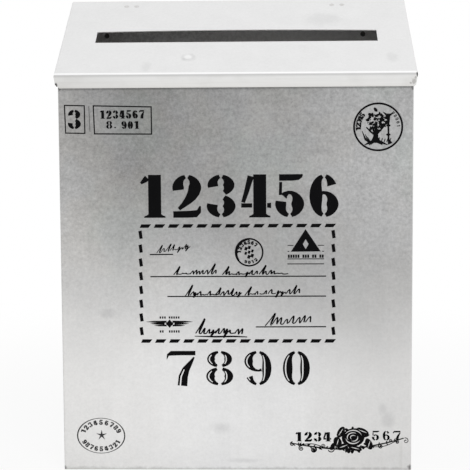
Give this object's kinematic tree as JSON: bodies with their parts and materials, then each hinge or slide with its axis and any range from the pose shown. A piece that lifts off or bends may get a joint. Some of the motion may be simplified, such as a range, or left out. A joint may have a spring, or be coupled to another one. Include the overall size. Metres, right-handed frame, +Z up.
{
  "type": "wall letterbox",
  "caption": "Tall shallow wall letterbox of folded steel sheet with a sloping hinged lid, a long letter slot and a worn black-printed front.",
  "frame": {"origin": "on the bottom plane, under the middle of the outline's width and depth", "axes": "+Z up, -Y out of the printed front, +Y into the wall, +X to the right seen from the front"},
  "size_m": [0.2648, 0.094, 0.3565],
  "materials": {
    "body_sheet": "worn matt whitewash over galvanised sheet, greyer at the top",
    "lid_sheet": "worn matt whitewash",
    "hinge_steel": "dull plated steel",
    "pin_steel": "dull steel",
    "rivet_steel": "painted over with the sheet"
  },
  "bodies": {
    "box": {"front_wrap": "body_sheet", "back_panel": "body_sheet", "bottom_pan": "body_sheet", "left_body_leaf": "hinge_steel", "right_body_leaf": "hinge_steel", "left_hinge_pin": "pin_steel", "right_hinge_pin": "pin_steel", "body_rivets": "rivet_steel"},
    "lid": {"lid": "lid_sheet", "left_lid_leaf": "hinge_steel", "right_lid_leaf": "hinge_steel", "lid_rivets": "rivet_steel"}
  },
  "joints": [
    {"name": "lid_hinge", "type": "hinge", "parent": "box", "child": "lid", "pos_m": [-0.0027, 0.04381, 0.35348], "axis": [-1, 0, 0], "range_deg": [0, 120]}
  ]
}
